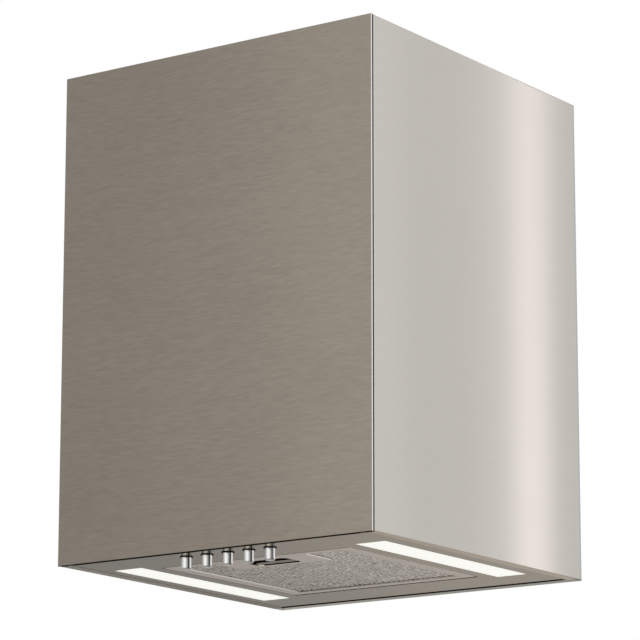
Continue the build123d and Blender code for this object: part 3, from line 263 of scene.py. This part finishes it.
class Finish:
    """A node material that grows one call at a time."""

    def __init__(self, name, metallic=0.0, roughness=0.5):
        self.material = bpy.data.materials.new(name)
        self.material.use_nodes = True
        self.tree = self.material.node_tree
        self.shader = self.tree.nodes["Principled BSDF"]
        self.shader.inputs["Metallic"].default_value = metallic
        self.shader.inputs["Roughness"].default_value = roughness
        coordinates = self.add("ShaderNodeTexCoord")
        self.place = coordinates.outputs["Object"]
        self.normal = coordinates.outputs["Normal"]

    def add(self, kind, inputs=(), **settings):
        """A node, with its settings and its inputs given by name or number."""
        node = self.tree.nodes.new(kind)
        for name, value in settings.items():
            setattr(node, name, value)
        for name, value in dict(inputs).items():
            self.feed(node.inputs[name], value)
        return node

    def feed(self, socket, value):
        """Links a socket to another or sets it."""
        if isinstance(value, bpy.types.NodeSocket):
            self.tree.links.new(value, socket)
        else:
            socket.default_value = value

    def stretched(self, scale):
        """The place on the piece, scaled along each axis."""
        return self.add("ShaderNodeMapping", {"Vector": self.place, "Scale": scale}).outputs[0]

    def noise(self, scale, detail=2.0, rough=0.5):
        """Noise from 0 to 1 with this many cells per metre along each axis."""
        settings = {
            "Vector": self.stretched(scale), "Scale": 1.0, "Detail": detail, "Roughness": rough,
        }
        return self.add("ShaderNodeTexNoise", settings).outputs[0]

    def cells(self, scale):
        """A node of uneven cells, this many per metre along each axis."""
        return self.add("ShaderNodeTexVoronoi", {"Vector": self.stretched(scale), "Scale": 1.0})

    def math(self, operation, *values):
        """One step of arithmetic."""
        return self.add("ShaderNodeMath", enumerate(values), operation=operation).outputs[0]

    def product(self, first, *others):
        """Values multiplied by each other."""
        for other in others:
            first = self.math("MULTIPLY", first, other)
        return first

    def remainder(self, value):
        """What a value leaves of 1."""
        return self.math("SUBTRACT", 1.0, value)

    def ranged(self, value, low, high, to_low=0.0, to_high=1.0):
        """A value moved smoothly from one range to another, and held at its ends."""
        settings = {
            "Value": value, "From Min": low, "From Max": high, "To Min": to_low, "To Max": to_high,
        }
        return self.add("ShaderNodeMapRange", settings, interpolation_type="SMOOTHSTEP").outputs[0]

    def varied(self, layers, amounts, start=1.0):
        """start plus each layer's noise, centred on 0 and times its amount."""
        total = start
        for noise, amount in zip(layers, amounts):
            total = self.math("MULTIPLY_ADD", self.math("SUBTRACT", noise, 0.5), amount, total)
        return total

    def along(self, axis):
        """The place along an axis."""
        return self.add("ShaderNodeSeparateXYZ", {0: self.place}).outputs[axis]

    def facing(self, axis):
        """How far the surface faces along an axis, from -1 to 1."""
        return self.add("ShaderNodeSeparateXYZ", {0: self.normal}).outputs[axis]

    def facing_down(self):
        """How far the surface faces down, from -1 to 1."""
        return self.math("MULTIPLY", self.facing(z_axis), -1.0)

    def facing_sideways(self):
        """How far the surface faces to the left or the right, from 0 to 1."""
        return self.math("ABSOLUTE", self.facing(x_axis))

    def inside(self, axis, limits):
        """1 where the place lies between two limits along one axis, else 0."""
        low, high = limits
        place = self.along(axis)
        above = self.math("GREATER_THAN", place, low)
        return self.product(above, self.math("LESS_THAN", place, high))

    def blend(self, factor, first, second):
        """The first colour where the factor is 0, the second where it is 1."""
        # The node's sockets share their names, so its colours go by number: 6 and 7 in, 2 out
        node = self.add("ShaderNodeMix", {"Factor": factor}, data_type="RGBA")
        self.feed(node.inputs[6], first)
        self.feed(node.inputs[7], second)
        return node.outputs[2]

    def scaled(self, colour, factor):
        """A colour made lighter or darker."""
        node = self.add("ShaderNodeVectorMath", operation="SCALE")
        if isinstance(colour, bpy.types.NodeSocket):
            self.feed(node.inputs[0], colour)
        else:
            node.inputs[0].default_value = colour[:3]
        self.feed(node.inputs["Scale"], factor)
        return node.outputs[0]

    def paint(self, colour):
        """Sets the base colour."""
        self.feed(self.shader.inputs["Base Color"], colour)

    def rough(self, value):
        """Sets the roughness."""
        self.feed(self.shader.inputs["Roughness"], value)

    def brush(self, amount):
        """Draws highlights out across the grain, which runs level on upright sheets."""
        quarter_turn = 0.25
        self.shader.inputs["Anisotropic"].default_value = amount
        self.shader.inputs["Anisotropic Rotation"].default_value = quarter_turn

    def graze(self, tint):
        """Dulls the mirror that metal becomes when seen along its surface."""
        self.shader.inputs["Specular Tint"].default_value = (*tint, 1.0)

    def gloss(self, amount):
        """Sets how much the parts that aren't bare metal shine, 0.5 for plain plastic."""
        self.shader.inputs["Specular IOR Level"].default_value = amount

    def metal(self, value):
        """Sets how much of the surface is bare metal."""
        self.feed(self.shader.inputs["Metallic"], value)

    def underside_painted_light(self):
        """Painted light on the underside, growing from the front left to the back right."""
        shifted = self.math("ADD", self.along(x_axis), underside_painted_shift)
        slant = self.math("MULTIPLY_ADD", self.along(y_axis), underside_painted_slant, shifted)
        return self.ranged(slant, *underside_painted_light_range)

    def filter_light(self):
        """Painted light on the filter, growing a little from left to right."""
        return self.ranged(self.along(x_axis), *filter_painted_light_range)

    def leaned(self, amount):
        """The surface's normal, leaned down by an amount."""
        drop = self.math("MULTIPLY", amount, -1.0)
        down = self.add("ShaderNodeCombineXYZ", {z_axis: drop}).outputs[0]
        world = self.add("ShaderNodeNewGeometry").outputs["Normal"]
        tilted = self.add("ShaderNodeVectorMath", {0: world, 1: down}, operation="ADD").outputs[0]
        return self.add("ShaderNodeVectorMath", {0: tilted}, operation="NORMALIZE").outputs[0]

    def emboss(self, height, depth, strength, normal=None):
        """Bump from a height of 0 to 1, depth metres high."""
        settings = {"Height": height, "Distance": depth, "Strength": strength}
        if normal is not None:
            settings["Normal"] = normal
        bump = self.add("ShaderNodeBump", settings).outputs[0]
        self.feed(self.shader.inputs["Normal"], bump)


def brushed_cover():
    """Taupe stainless sheet with a level grain, painted light growing to the right, a painted
    highlight on its right cut edge and painted shade on its left cut edge and underside.
    """
    finish = Finish("brushed_cover", metallic=1.0, roughness=cover_roughness)
    grain = finish.noise(cover_grain, detail=3.0, rough=0.6)
    dashes = finish.noise(cover_dashes)
    bands = finish.noise(cover_bands)
    clouds = finish.noise(cover_clouds, detail=3.0)
    value = finish.varied((grain, dashes, bands, clouds), cover_contrast)
    # Painted light, growing to the right across the face
    rise = finish.ranged(finish.along(x_axis), *cover_painted_light_range)
    rise = finish.math("ADD", rise, finish.ranged(finish.along(x_axis), *cover_right_painted_light_range))
    face = finish.scaled(tone(*cover_tone), finish.product(value, rise))
    edge = finish.facing(x_axis)
    # Painted highlight on the right cut edge, with painted shade on it behind the hem
    hem = finish.ranged(finish.along(y_axis), *hem_painted_shade_range)
    cut = finish.product(finish.varied((dashes,), cut_contrast), hem)
    cut = finish.scaled(tone(*edge_highlight_tone), cut)
    sheet = finish.blend(finish.ranged(edge, *cut_highlight_facing), face, cut)
    # Painted shade on the left cut edge
    sheet = finish.scaled(sheet, finish.ranged(edge, *left_edge_shade_facing))
    # Painted shade, as dull non-metal, on the faces that look down
    below = finish.ranged(finish.facing_down(), *cover_shade_facing)
    finish.paint(finish.blend(below, sheet, tone(*shade_tone)))
    finish.metal(finish.remainder(below))
    rough = finish.varied((grain,), cover_spread, cover_roughness)
    finish.rough(finish.math("MAXIMUM", rough, below))
    finish.gloss(0.0)
    finish.brush(0.7)
    finish.emboss(grain, depth=0.00002, strength=0.35)
    return finish.material


def casing_wall(finish, value):
    """The casing's upright sides and back, with painted light along the side from front to back and
    a cooler painted reflection on the rounded rear corners.
    """
    # Painted light along the side from front to back
    light = finish.ranged(finish.along(y_axis), *side_painted_light_ranges[0])
    for limits in side_painted_light_ranges[1:]:
        light = finish.math("ADD", light, finish.ranged(finish.along(y_axis), *limits))
    # Painted reflection on the rounded rear corners
    corner = finish.ranged(finish.along(y_axis), *corner_reflection_range)
    corner = finish.product(corner, finish.ranged(finish.facing(y_axis), *corner_reflection_facing))
    wall = finish.blend(corner, tone(*casing_tone), tone(*corner_reflection_tone))
    return finish.scaled(wall, finish.product(value, light))


def casing_fold(finish, value):
    """The casing's folded underside in painted light and shade: the side folds follow the plate's
    painted light and grow lighter at the outer right edge, the back fold is lighter and fades to
    the right, with dark lines where side and back folds meet.
    """
    # Painted light on the side folds, growing towards the outer right edge
    outer = finish.ranged(finish.along(x_axis), *outer_fold_light_range)
    side_fold = finish.scaled(tone(*plate_tone), finish.product(finish.underside_painted_light(), outer))
    # Painted light on the back fold, fading to the right
    back_light = finish.ranged(finish.along(x_axis), *back_fold_light_range)
    back_fold = finish.scaled(tone(*casing_tone), back_light)
    at_back = finish.ranged(finish.along(y_axis), *back_fold_light_start)
    fold = finish.blend(at_back, side_fold, back_fold)
    to_side = finish.math("ABSOLUTE", finish.along(x_axis))
    mitre = finish.math("SUBTRACT", to_side, finish.along(y_axis))
    mitre = finish.math("ABSOLUTE", finish.math("SUBTRACT", mitre, mitre_corner))
    return finish.scaled(fold, finish.product(value, finish.ranged(mitre, *mitre_range)))


def brushed_casing():
    """Bright stainless sheet; its folded underside is painted in shade as dull as the plate beside
    it, its inner lips in painted shade with the left one in painted light, and its front edge in
    painted shade.
    """
    finish = Finish("brushed_casing", metallic=1.0, roughness=0.28)
    grain = finish.noise(casing_grain, detail=3.0, rough=0.6)
    bands = finish.noise(casing_bands)
    clouds = finish.noise(casing_clouds)
    value = finish.varied((grain, bands, clouds), casing_contrast)
    # Faces that look down take the folds' painted light and shade in place of the walls' tone
    below = finish.ranged(finish.facing_down(), *shaded_fold_facing)
    colour = finish.blend(below, casing_wall(finish, value), casing_fold(finish, value))
    # Painted shade on the inner lips, painted light as dull non-metal on the left one
    lips = finish.product(finish.inside(x_axis, lip_light_and_shade_x), finish.inside(y_axis, lip_light_and_shade_y))
    lips = finish.product(lips, finish.inside(z_axis, lip_light_and_shade_z))
    left = finish.inside(x_axis, lit_left_lip_x)
    colour = finish.blend(lips, colour, finish.blend(left, tone(*shade_tone), tone(*painted_light_tone)))
    # Painted shade, as dull non-metal, on the front edge
    not_side = finish.math("LESS_THAN", finish.facing_sideways(), nose_shade_facing)
    nose_shade = finish.product(finish.inside(y_axis, nose_shade_y), not_side)
    finish.paint(finish.blend(nose_shade, colour, tone(*shade_tone)))
    finish.metal(finish.remainder(finish.math("MAXIMUM", nose_shade, finish.product(lips, left))))
    rough = finish.varied((grain,), sheet_spread, casing_roughness)
    finish.rough(finish.math("MAXIMUM", rough, nose_shade))
    finish.gloss(0.0)
    finish.brush(0.92)
    finish.graze(plate_graze)
    finish.emboss(grain, depth=0.000008, strength=0.12)
    return finish.material


def satin_plate():
    """The underside plate, finely brushed from side to side, with painted light across it and
    painted shade on its collars.
    """
    finish = Finish("satin_plate", metallic=1.0, roughness=0.25)
    grain = finish.noise(plate_grain, rough=0.6)
    clouds = finish.noise(plate_clouds)
    value = finish.varied((grain, clouds), plate_contrast)
    face = finish.scaled(tone(*plate_tone), finish.product(value, finish.underside_painted_light()))
    # Painted shade on the collars
    collars = finish.inside(z_axis, collar_shade_z)
    finish.paint(finish.blend(collars, face, finish.scaled(tone(*plate_tone), collar_shade)))
    finish.rough(finish.varied((grain,), sheet_spread, plate_roughness))
    finish.graze(plate_graze)
    finish.emboss(grain, depth=0.000004, strength=0.1)
    return finish.material


def galvanised():
    """Zinc-coated sheet with its crystal pattern."""
    finish = Finish("galvanised", metallic=1.0, roughness=0.4)
    warp = finish.noise(zinc_warp)
    crystals = finish.cells(zinc_crystals).outputs["Color"]
    spangle = finish.add("ShaderNodeSeparateXYZ", {0: crystals}).outputs[0]
    value = finish.varied((spangle, warp), zinc_contrast)
    finish.paint(finish.scaled(tone(*zinc_tone), value))
    finish.rough(finish.varied((spangle, warp), zinc_spread, zinc_roughness))
    finish.emboss(warp, depth=0.00002, strength=0.2)
    return finish.material


def drawn_metal(name, colour, roughness, grain=(60, 900, 900), depth=0.00001, contrast=0.12):
    """Plain metal with the fine lines that rolling, turning or drawing leaves."""
    finish = Finish(name, metallic=1.0, roughness=roughness)
    lines = finish.noise(grain, detail=3.0, rough=0.6)
    clouds = finish.noise(metal_clouds)
    value = finish.varied((lines, clouds), (contrast, cloud_contrast))
    finish.paint(finish.scaled(tone(*colour), value))
    finish.rough(finish.varied((lines, clouds), metal_spread, roughness))
    finish.emboss(lines, depth, strength=0.3)
    return finish.material


def folded_aluminium():
    """The filter's folded sheet, with painted highlights on its cut edges, and its finger recess in
    painted shade with a painted glint and a painted light bar.
    """
    finish = Finish("filter_aluminium", metallic=1.0, roughness=filter_roughness)
    lines = finish.noise(filter_lines, detail=3.0, rough=0.6)
    clouds = finish.noise(metal_clouds)
    # Painted light, growing a little to the right
    value = finish.product(finish.varied((lines, clouds), filter_contrast), finish.filter_light())
    colour = finish.scaled(tone(*filter_tone), value)
    # Painted highlight on the cut edges that face sideways, low on the sheet
    low = finish.inside(z_axis, edge_highlight_z)
    edge = finish.product(finish.ranged(finish.facing_sideways(), *edge_highlight_facing), low)
    # Painted shade in the finger recess
    upright = finish.ranged(finish.facing(z_axis), *recess_shade_facing)
    recess = finish.product(finish.inside(x_axis, recess_shade_x), finish.inside(y_axis, recess_shade_y))
    recess = finish.product(recess, finish.product(upright, finish.inside(z_axis, recess_shade_z)))
    # Painted glint at the recess's back left corner
    glint = finish.product(finish.inside(x_axis, painted_glint_x), finish.inside(y_axis, painted_glint_y))
    glint = finish.product(recess, glint, low)
    bright = finish.math("MAXIMUM", glint, finish.math("SUBTRACT", edge, recess))
    # Painted light on the finger bar's lower front
    bar = finish.product(finish.inside(y_axis, lit_bar_y), finish.inside(z_axis, lit_bar_z), recess)
    colour = finish.blend(recess, colour, tone(*shade_tone))
    colour = finish.blend(bar, colour, tone(*painted_light_tone))
    finish.paint(finish.blend(bright, colour, tone(*edge_highlight_tone)))
    # The recess's painted shade and painted light bar are dull non-metal
    painted_recess = finish.math("SUBTRACT", recess, glint)
    finish.metal(finish.remainder(painted_recess))
    rough = finish.varied((lines, clouds), metal_spread, filter_roughness)
    finish.rough(finish.math("MAXIMUM", rough, painted_recess))
    finish.gloss(0.0)
    finish.graze(filter_graze)
    lean = finish.leaned(finish.product(bright, edge_lean))
    finish.emboss(lines, depth=0.00001, strength=0.3, normal=lean)
    return finish.material


def expanded_aluminium():
    """Rolled aluminium mesh with an uneven tone and painted light that grows a little to the right.
    """
    finish = Finish("filter_mesh", metallic=1.0, roughness=mesh_roughness)
    lines = finish.noise(mesh_lines, detail=3.0, rough=0.6)
    clouds = finish.noise(metal_clouds)
    # Painted light, growing a little to the right
    value = finish.product(finish.varied((lines, clouds), mesh_contrast), finish.filter_light())
    finish.paint(finish.scaled(tone(*mesh_tone), value))
    finish.rough(finish.varied((lines, clouds), metal_spread, mesh_roughness))
    finish.emboss(lines, depth=0.00002, strength=0.3)
    return finish.material


def polished_chrome():
    """Chrome turned on a lathe, with a painted reflection in the light and dark bands that a round
    bar shows, and painted shade on its flat end.
    """
    finish = Finish("polished_chrome", metallic=1.0, roughness=0.12)
    turned = finish.noise(chrome_rings)
    # Painted reflection in light and dark bands, by which way the surface faces
    across = finish.product(finish.facing(x_axis), math.cos(math.radians(reflection_band_turn)))
    depth = math.sin(math.radians(reflection_band_turn))
    across = finish.math("MULTIPLY_ADD", finish.facing(y_axis), depth, across)
    share = finish.math("MULTIPLY_ADD", across, 0.5, 0.5)
    bands = finish.add("ShaderNodeValToRGB", {"Fac": share})
    stops = bands.color_ramp.elements
    for place, _ in chrome_reflection_bands[1:-1]:
        stops.new(place)
    for stop, (place, level) in zip(stops, chrome_reflection_bands):
        stop.position = place
        stop.color = (level, level, level, 1.0)
    level = finish.product(bands.outputs["Color"], finish.varied((turned,), chrome_contrast))
    # Painted shade on the flat end
    shaded_end = finish.ranged(finish.facing_down(), *end_shade_facing)
    # Input 0 of this node is the share of the second number; inputs 2 and 3 are the numbers
    level = finish.add("ShaderNodeMix", {0: shaded_end, 2: level, 3: end_shade_level}).outputs[0]
    finish.paint(finish.scaled(tone(*chrome_tone), level))
    squared = finish.product(across, across)
    lean = finish.math("MULTIPLY_ADD", squared, side_lean, middle_lean)
    finish.feed(finish.shader.inputs["Normal"], finish.leaned(lean))
    return finish.material


def moulded(name, colour, roughness, pebble=1400, depth=0.00003, contrast=0.12, gloss=0.5):
    """Moulded plastic with a fine spark-eroded grain and faint flow marks."""
    finish = Finish(name, roughness=roughness)
    finish.gloss(gloss)
    grain = finish.noise((pebble, pebble, pebble), rough=0.6)
    flow = finish.noise(plastic_flow, detail=3.0)
    value = finish.varied((grain, flow), (contrast, contrast))
    finish.paint(finish.scaled(tone(*colour), value))
    finish.rough(finish.varied((grain, flow), plastic_spread, roughness))
    finish.emboss(grain, depth, strength=0.4)
    return finish.material


def foam():
    """Black closed-cell foam, whose strips in the gaps beside the cover stand in for the shade
    there.
    """
    finish = Finish("foam", roughness=0.95)
    finish.gloss(0.0)
    bubbles = finish.cells(foam_cells).outputs["Distance"]
    finish.paint(finish.scaled(tone(*foam_and_shade_tone), finish.varied((bubbles,), foam_contrast)))
    finish.emboss(bubbles, depth=0.0002, strength=0.8)
    return finish.material


def frosted_lens():
    """A frosted window lit from behind, with faint ribs along its length."""
    finish = Finish("frosted_lens", roughness=0.35)
    turns = finish.product(finish.along(x_axis), 2 * math.pi / rib_pitch)
    ribs = finish.math("MULTIPLY_ADD", finish.math("SINE", turns), 0.5, 0.5)
    ribs = finish.math("POWER", ribs, rib_sharpness)
    frost = finish.noise(lens_frost)
    spots = finish.noise(lens_spots, detail=1.0)
    glow = finish.varied((ribs, frost, spots), lens_contrast, lens_level)
    finish.paint(tone(*lens_tone))
    finish.feed(finish.shader.inputs["Emission Color"], finish.scaled(tone(*lamp_tone), glow))
    finish.shader.inputs["Emission Strength"].default_value = lens_glow
    finish.emboss(ribs, depth=0.0001, strength=0.3)
    return finish.material


def circuit_board():
    """White-masked board with faint tracks; its chips are warm yellow."""
    finish = Finish("circuit_board", roughness=0.4)
    tracks = finish.add("ShaderNodeTexBrick", {
        "Vector": finish.stretched(board_tracks), "Scale": 1.0, "Color1": tone(*board_tone),
        "Color2": tone(*track_tone), "Mortar": tone(*gap_tone), "Mortar Size": mortar_width,
    })
    frost = finish.noise(board_frost)
    chip = finish.ranged(finish.along(z_axis), *chip_range)
    colour = finish.blend(chip, tracks.outputs["Color"], tone(*chip_tone))
    finish.paint(finish.scaled(colour, finish.varied((frost,), board_contrast)))
    finish.emboss(tracks.outputs["Fac"], depth=0.00003, strength=0.4)
    return finish.material


finishes = {
    "steel_cover": brushed_cover(),
    "steel_casing": brushed_casing(),
    "steel_plate": satin_plate(),
    "steel_galvanised": galvanised(),
    "foam_black": foam(),
    "plastic_black": moulded("black_plastic", (22, 22, 23), roughness=0.45, gloss=0.15),
    "chrome": polished_chrome(),
    "spring_steel": drawn_metal("spring_steel", (160, 160, 162), roughness=0.3),
    "lens_frosted": frosted_lens(),
    "lamp_channel": drawn_metal(
        "lamp_channel", (196, 196, 196), roughness=0.35, grain=(1200, 30, 1200),
    ),
    "circuit_board": circuit_board(),
    "filter_aluminium": folded_aluminium(),
    "filter_mesh": expanded_aluminium(),
    "fan_plastic": moulded("fan_plastic", (62, 62, 64), roughness=0.5, pebble=900),
    "motor_steel": drawn_metal(
        "motor_steel", (150, 150, 150), roughness=0.38, grain=(1200, 40, 40),
    ),
    "bronze": drawn_metal(
        "bronze", (176, 136, 84), roughness=0.45, grain=(900, 900, 900), depth=0.00002,
        contrast=0.25,
    ),
    "capacitor_can": moulded(
        "capacitor_can", (214, 214, 212), roughness=0.35, pebble=700, depth=0.00001,
        contrast=0.05,
    ),
    "collar_plastic": moulded("collar_plastic", (70, 70, 72), roughness=0.48, pebble=1000),
    "pin_steel": drawn_metal("pin_steel", (178, 178, 178), roughness=0.22, grain=(20, 1500, 1500)),
    "box_plastic": moulded(
        "box_plastic", (222, 222, 216), roughness=0.42, pebble=1100, depth=0.00002,
        contrast=0.06,
    ),
    "screw_zinc": drawn_metal(
        "screw_zinc", (190, 190, 184), roughness=0.3, grain=(700, 700, 700), contrast=0.18,
    ),
}
node_slots = {row["node"]: row["material_slot"] for row in frame["record"]["subparts"]}
for node, piece in frame["nodes"].items():
    for place in piece.material_slots:
        place.material = finishes[node_slots[node]]


def mesh_piece(name, body, slot, shape):
    """A new piece from a bmesh, with its finish, riding on a body."""
    mesh = bpy.data.meshes.new(name)
    shape.to_mesh(mesh)
    shape.free()
    piece = bpy.data.objects.new(name, mesh)
    bpy.context.scene.collection.objects.link(piece)
    mesh.materials.append(finishes[slot])
    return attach(piece, body)


def add_strand(shape, points, chance):
    """A flat zigzag strip through points, tilted unevenly from one side to the other."""
    half = strand_width / 2
    rings = []
    for index, (x, y, z) in enumerate(points):
        tilt = (strand_tilt if index % 2 else -strand_tilt) * chance.uniform(*tilt_spread)
        corners = (
            (x, y - half, z + tilt),
            (x, y + half, z - tilt),
            (x, y + half, z - tilt + strand_thickness),
            (x, y - half, z + tilt + strand_thickness),
        )
        rings.append([shape.verts.new(corner) for corner in corners])
    for first, second in zip(rings, rings[1:]):
        for side in range(len(first)):
            after = (side + 1) % len(first)
            shape.faces.new((first[side], second[side], second[after], first[after]))
    shape.faces.new(rings[0])
    shape.faces.new(reversed(rings[-1]))


def expanded_mesh():
    """The fine aluminium mesh in the filter's window, left open round the latch."""
    low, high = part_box("filter_mesh")
    latch_low, latch_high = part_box("latch_plate")
    chance = random.Random(mesh_seed)
    shape = bmesh.new()
    rows = int((high.y - low.y - strand_width) / mesh_row)
    steps = int((high.x - low.x) / mesh_step)
    start_x = (low.x + high.x - steps * mesh_step) / 2
    start_y = (low.y + high.y - rows * mesh_row) / 2
    z = low.z + strand_tilt
    reach = (mesh_row - strand_width / 2) / 2
    for row in range(rows + 1):
        y = start_y + row * mesh_row
        points = []
        for step in range(steps + 1):
            x = start_x + step * mesh_step
            swing = reach if (row + step) % 2 else -reach
            y_here = min(max(y + swing, low.y + strand_width / 2), high.y - strand_width / 2)
            near = latch_low.x - mesh_step / 2 < x < latch_high.x + mesh_step / 2
            if near and y_here < latch_high.y + strand_width:
                if len(points) > 1:
                    add_strand(shape, points, chance)
                points = []
            else:
                points.append((x, y_here, z))
        if len(points) > 1:
            add_strand(shape, points, chance)
    bmesh.ops.recalc_face_normals(shape, faces=shape.faces)
    return mesh_piece("filter_mesh_fine", "filter", "filter_mesh", shape)


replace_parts(expanded_mesh(), "filter_mesh")


def add_floor():
    """The pale floor below the hood, which reaches further to the left and the back."""
    shape = bmesh.new()
    bmesh.ops.create_grid(
        shape, x_segments=floor_segments, y_segments=floor_segments, size=floor_half,
    )
    mesh = bpy.data.meshes.new("floor")
    shape.to_mesh(mesh)
    shape.free()
    floor = bpy.data.objects.new("floor", mesh)
    floor.location = (*floor_middle, floor_height)
    bpy.context.scene.collection.objects.link(floor)
    finish = Finish("floor_paint", roughness=0.8)
    clouds = finish.noise(floor_clouds)
    finish.paint(finish.scaled(tone(*floor_tone), finish.varied((clouds,), floor_contrast)))
    mesh.materials.append(finish.material)


def add_softbox(name, place, size, power, tint, level=False):
    """A soft rectangular lamp that faces the hood, or looks level towards it."""
    light = bpy.data.lights.new(name, "AREA")
    light.shape = "RECTANGLE"
    light.size, light.size_y = size
    light.energy = power
    light.color = tone(*tint)[:3]
    lamp = bpy.data.objects.new(name, light)
    lamp.location = place
    lamp.rotation_mode = "QUATERNION"
    aim = hood_middle - Vector(place)
    if level:
        aim.z = 0.0
    lamp.rotation_quaternion = aim.to_track_quat("-Z", "Y")
    lamp.visible_camera = False
    bpy.context.scene.collection.objects.link(lamp)


def set_world():
    """White for the camera, in reflections and through glass; the level of daylight else."""
    world = bpy.data.worlds.new("studio")
    world.use_nodes = True
    tree = world.node_tree
    light = tree.nodes["Background"]
    rays = tree.nodes.new("ShaderNodeLightPath")
    seen = tree.nodes.new("ShaderNodeMath")
    seen.operation = "MAXIMUM"
    tree.links.new(rays.outputs["Is Camera Ray"], seen.inputs[0])
    shiny = tree.nodes.new("ShaderNodeMath")
    shiny.operation = "MAXIMUM"
    tree.links.new(rays.outputs["Is Glossy Ray"], shiny.inputs[0])
    tree.links.new(rays.outputs["Is Transmission Ray"], shiny.inputs[1])
    tree.links.new(shiny.outputs[0], seen.inputs[1])
    level = tree.nodes.new("ShaderNodeMapRange")
    tree.links.new(seen.outputs[0], level.inputs["Value"])
    level.inputs["To Min"].default_value = daylight
    level.inputs["To Max"].default_value = 1.0
    tree.links.new(level.outputs[0], light.inputs["Strength"])
    light.inputs["Color"].default_value = white
    bpy.context.scene.world = world


def add_camera():
    """The camera at the photograph's place, below and to the right of the hood."""
    turn = math.radians(camera_turn)
    rise = math.radians(camera_rise)
    roll = math.radians(camera_roll)
    level_reach = math.cos(rise)
    ahead = Vector((-math.sin(turn) * level_reach, math.cos(turn) * level_reach, math.sin(rise)))
    right = ahead.cross(Vector((0.0, 0.0, 1.0))).normalized()
    up = right.cross(ahead)
    rolled_right = right * math.cos(roll) + up * math.sin(roll)
    rolled_up = up * math.cos(roll) - right * math.sin(roll)
    data = bpy.data.cameras.new("camera")
    data.lens = camera_lens
    data.sensor_width = sensor_width
    data.clip_end = sight_end
    camera = bpy.data.objects.new("camera", data)
    axes = Matrix((rolled_right, rolled_up, -ahead)).transposed().to_4x4()
    camera.matrix_world = Matrix.Translation(camera_place) @ axes
    bpy.context.scene.collection.objects.link(camera)
    bpy.context.scene.camera = camera


add_camera()
add_floor()
set_world()
for name, settings in softboxes.items():
    add_softbox(name, **settings)
bpy.context.scene.view_settings.view_transform = "Standard"
